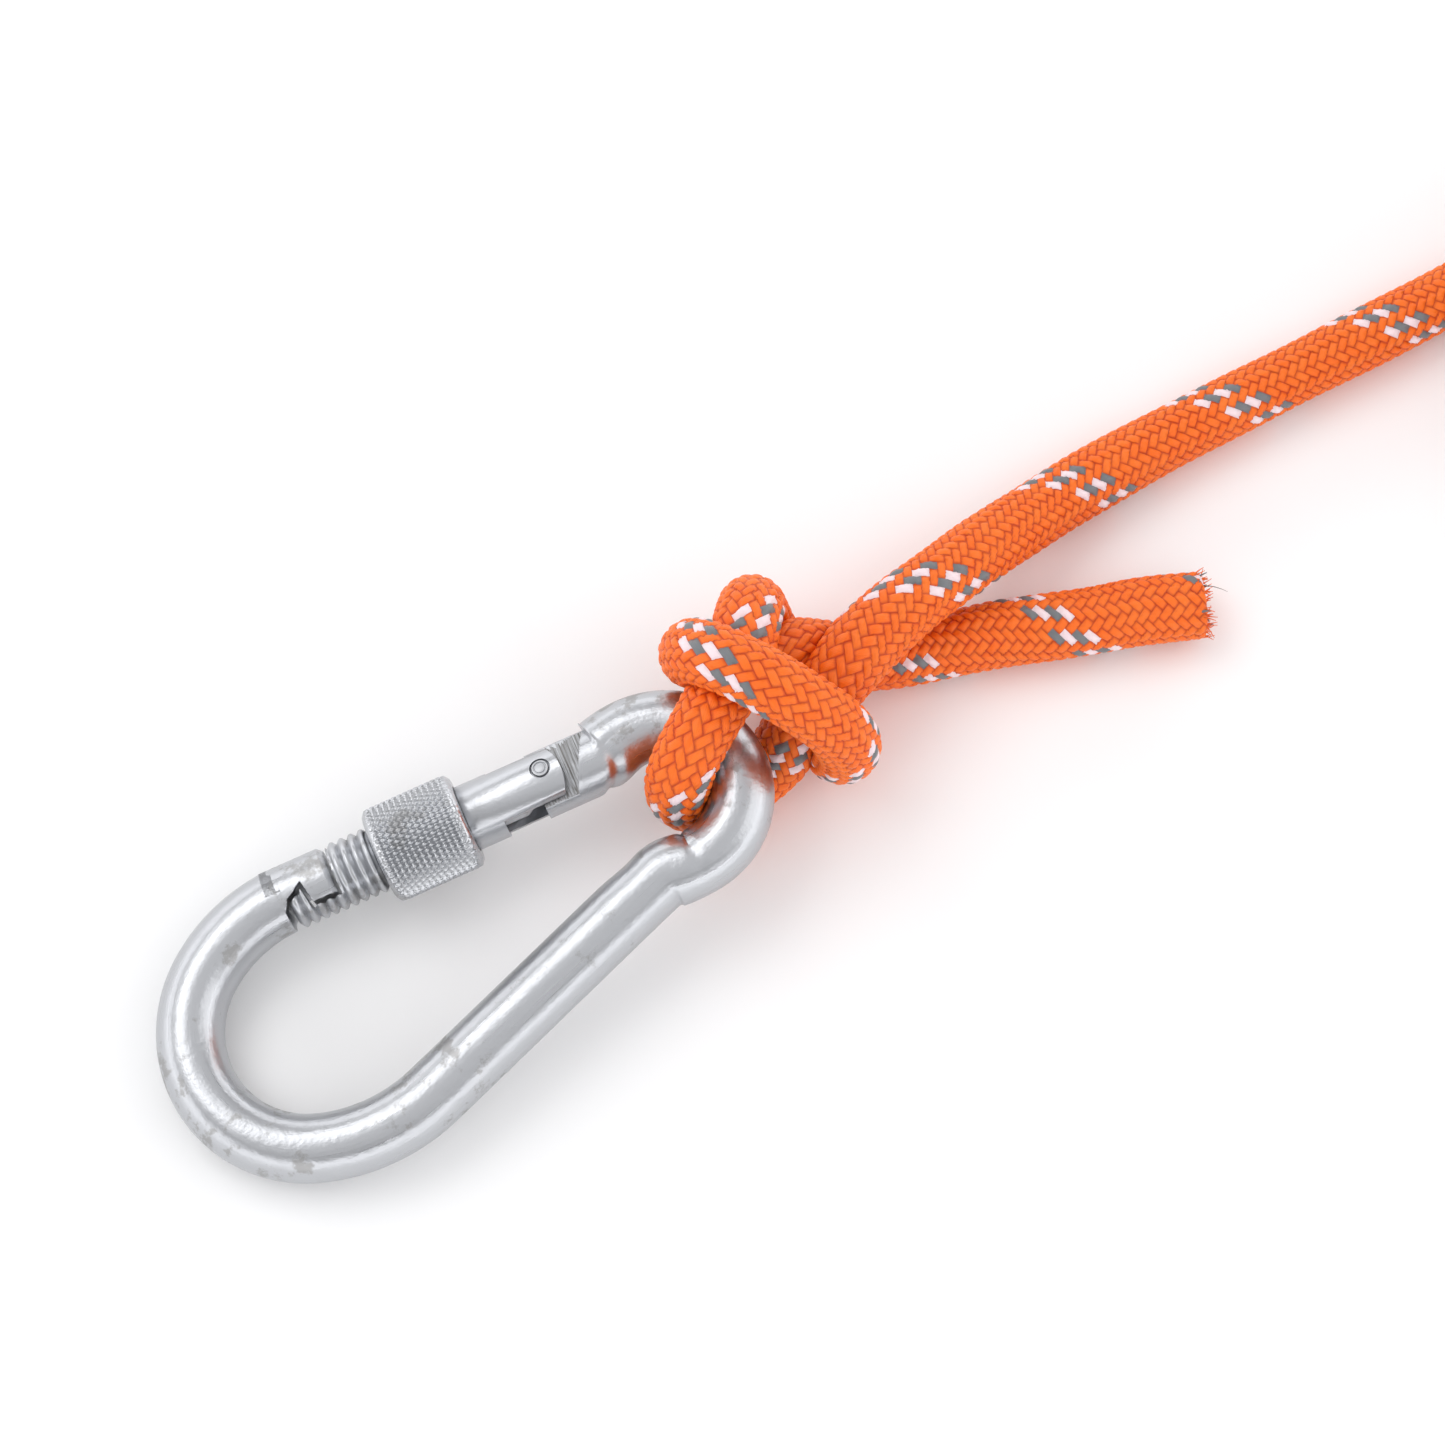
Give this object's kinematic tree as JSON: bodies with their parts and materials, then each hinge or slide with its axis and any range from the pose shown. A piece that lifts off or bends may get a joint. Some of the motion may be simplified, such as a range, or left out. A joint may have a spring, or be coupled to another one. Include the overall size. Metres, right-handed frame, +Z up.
{
  "type": "screw-lock snap hook with a tied rope",
  "caption": "Pear-shaped bent-rod snap hook with a screw-lock sleeve on its sprung gate, and a braided rope knotted into its eye, the spare rope folded in a strapped hank.",
  "frame": {"origin": "on the supporting surface, under the middle of the box of the hook with its knot and rope tail", "axes": "+X from the big bow to the eye and along the rope, +Y towards the gate, +Z up from the surface the part lies on; the hook's plane rises 7 degrees towards the eye"},
  "size_m": [0.3523, 0.0586, 0.0287],
  "materials": {
    "zinc_rod": "bright zinc plate, satin with drawn streaks and faint stains",
    "zinc_gate": "bright zinc plate, turned",
    "knurled_zinc": "bright zinc plate over a fine diamond knurl",
    "pin_steel": "riveted and rubbed",
    "spring_steel": "drawn wire",
    "rope_sheath": "braided filament yarn with a slight sheen, grey and pale tracer yarns",
    "tie_strap": "black woven hook-and-loop strap"
  },
  "bodies": {
    "hook": {"hook_body": "zinc_rod", "rope_knot": "rope_sheath", "rope_line": "rope_sheath", "rope_hank": "rope_sheath", "hank_tie": "tie_strap"},
    "gate": {"gate": "zinc_gate", "hinge_pin": "pin_steel", "gate_spring": "spring_steel"},
    "plunger": {"spring_plunger": "pin_steel"},
    "thread_ring": {"sleeve_thread": "zinc_gate"},
    "sleeve": {"lock_sleeve": "knurled_zinc"}
  },
  "joints": [
    {"name": "gate_swing", "type": "hinge", "parent": "hook", "child": "gate", "pos_m": [-0.0133, 0.01141, 0.01036], "axis": [-0.1219, 0, 0.9925], "range_deg": [0, 26], "stiffness_Nm_per_rad": 0.08, "springref_deg": -28.65},
    {"name": "plunger_slide", "type": "slide", "parent": "gate", "child": "plunger", "axis": [-0.9866, 0.1097, -0.1211], "range_m": [0, 0.0013], "deforming": ["gate_spring"]},
    {"name": "sleeve_slide", "type": "slide", "parent": "gate", "child": "thread_ring", "axis": [-0.9866, 0.1097, -0.1211], "range_m": [-0.003, 0.005]},
    {"name": "sleeve_turn", "type": "hinge", "parent": "thread_ring", "child": "sleeve", "pos_m": [-0.02908, 0.01231, 0.00842], "axis": [-0.9866, 0.1097, -0.1211], "range_deg": [-864.1, 1440.1]}
  ],
  "couplings": [
    {"joint": "plunger_slide", "follows": "gate_swing", "m_per_rad": 0.0025},
    {"joint": "sleeve_turn", "follows": "sleeve_slide", "rad_per_m": 5026.5}
  ]
}
